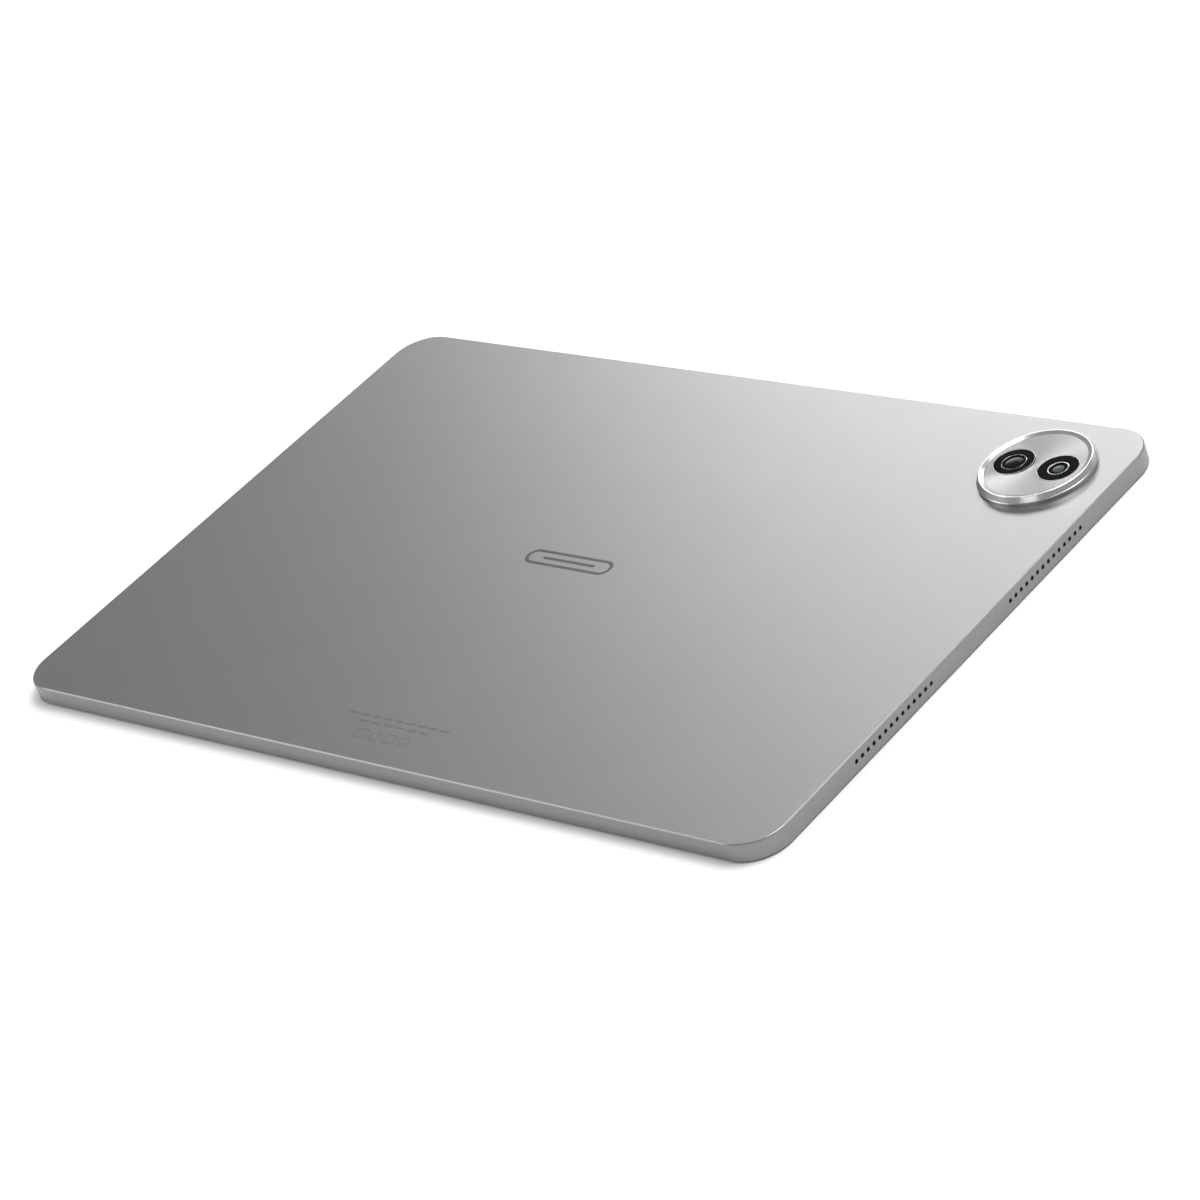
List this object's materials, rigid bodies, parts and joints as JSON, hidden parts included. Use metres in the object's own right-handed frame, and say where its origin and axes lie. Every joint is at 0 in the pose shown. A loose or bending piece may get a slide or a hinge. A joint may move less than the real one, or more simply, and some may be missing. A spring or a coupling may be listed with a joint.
{
  "type": "tablet computer",
  "caption": "Slim metal-backed tablet computer with a round twin-lens camera island, speaker hole rows in its short ends and sprung edge keys.",
  "frame": {"origin": "centre of the cover glass's outer face, on which the tablet lies", "axes": "+X along the long side towards the camera end, +Y along the short side towards the keys, +Z out of the back"},
  "size_m": [0.2746, 0.1809, 0.0082],
  "materials": {
    "anodised_aluminium": "satin anodised, fine bead blast",
    "antenna_plastic": "matte, colour-matched to the metal",
    "frame_plastic": "matte black",
    "front_glass": "gloss black border",
    "black_adhesive": "matte",
    "clear_adhesive": "clear",
    "display": "gloss, unlit",
    "steel_sheet": "plain rolled",
    "polished_aluminium": "polished cut",
    "brushed_silver": "circular brushed, bright",
    "lens_glass": "gloss black",
    "camera_black": "matte black",
    "key_aluminium": "satin anodised",
    "switch_plastic": "matte",
    "flex_circuit": "amber film",
    "socket_steel": "satin nickel plated",
    "socket_plastic": "black moulded",
    "seal_rubber": "matte",
    "circuit_board": "dark green solder mask",
    "battery_foil": "dark wrapped pouch foil",
    "chip_plastic": "moulded epoxy",
    "copper": "bare copper",
    "screw_steel": "zinc plated",
    "magnet_nickel": "nickel plated",
    "microphone_can": "gold-washed can",
    "speaker_plastic": "matte black moulding",
    "driver_black": "satin diaphragm",
    "speaker_mesh": "fine woven acoustic mesh"
  },
  "bodies": {
    "tablet": {"antenna_window_left": "antenna_plastic", "antenna_window_right": "antenna_plastic", "battery_adhesive": "black_adhesive", "battery_board": "circuit_board", "battery_cell_left": "battery_foil", "battery_cell_right": "battery_foil", "bezel_frame": "frame_plastic", "board_link_flex": "flex_circuit", "board_screws": "screw_steel", "camera_bracket": "steel_sheet", "camera_dish": "brushed_silver", "camera_ring": "polished_aluminium", "cover_glass": "front_glass", "display_adhesive": "clear_adhesive", "display_backing_plate": "steel_sheet", "display_flex": "flex_circuit", "display_panel": "display", "edge_magnets": "magnet_nickel", "front_camera_module": "camera_black", "heat_spreader": "copper", "key_flex": "flex_circuit", "key_switches": "switch_plastic", "main_camera_module": "camera_black", "main_lens_rim": "polished_aluminium", "main_lens_window": "lens_glass", "main_shield_can": "steel_sheet", "mainboard": "circuit_board", "memory_chip": "chip_plastic", "microphones": "microphone_can", "pen_charging_coil": "copper", "perimeter_adhesive": "black_adhesive", "power_key_bracket": "steel_sheet", "processor": "chip_plastic", "radio_chip": "chip_plastic", "radio_shield_can": "steel_sheet", "rear_housing": "anodised_aluminium", "second_camera_module": "camera_black", "second_lens_rim": "polished_aluminium", "second_lens_window": "lens_glass", "speaker_box_1": "speaker_plastic", "speaker_box_2": "speaker_plastic", "speaker_box_3": "speaker_plastic", "speaker_box_4": "speaker_plastic", "speaker_driver_1": "driver_black", "speaker_driver_2": "driver_black", "speaker_driver_3": "driver_black", "speaker_driver_4": "driver_black", "speaker_mesh_1": "speaker_mesh", "speaker_mesh_2": "speaker_mesh", "speaker_mesh_3": "speaker_mesh", "speaker_mesh_4": "speaker_mesh", "storage_chip": "chip_plastic", "usb_board": "circuit_board", "usb_seal": "seal_rubber", "usb_socket_shell": "socket_steel", "usb_tongue": "socket_plastic", "volume_key_bracket": "steel_sheet"},
    "power_key": {"power_key": "key_aluminium"},
    "volume_key": {"volume_key": "key_aluminium"}
  },
  "joints": [
    {"name": "power_press", "type": "slide", "parent": "tablet", "child": "power_key", "axis": [0, -1, 0], "range_m": [0, 0.00025], "stiffness_N_per_m": 2000},
    {"name": "volume_rock", "type": "hinge", "parent": "tablet", "child": "volume_key", "pos_m": [0.09225, 0.08708, 0.00308], "axis": [0, 0, 1], "range_deg": [-1.3, 1.3], "stiffness_Nm_per_rad": 0.3}
  ]
}
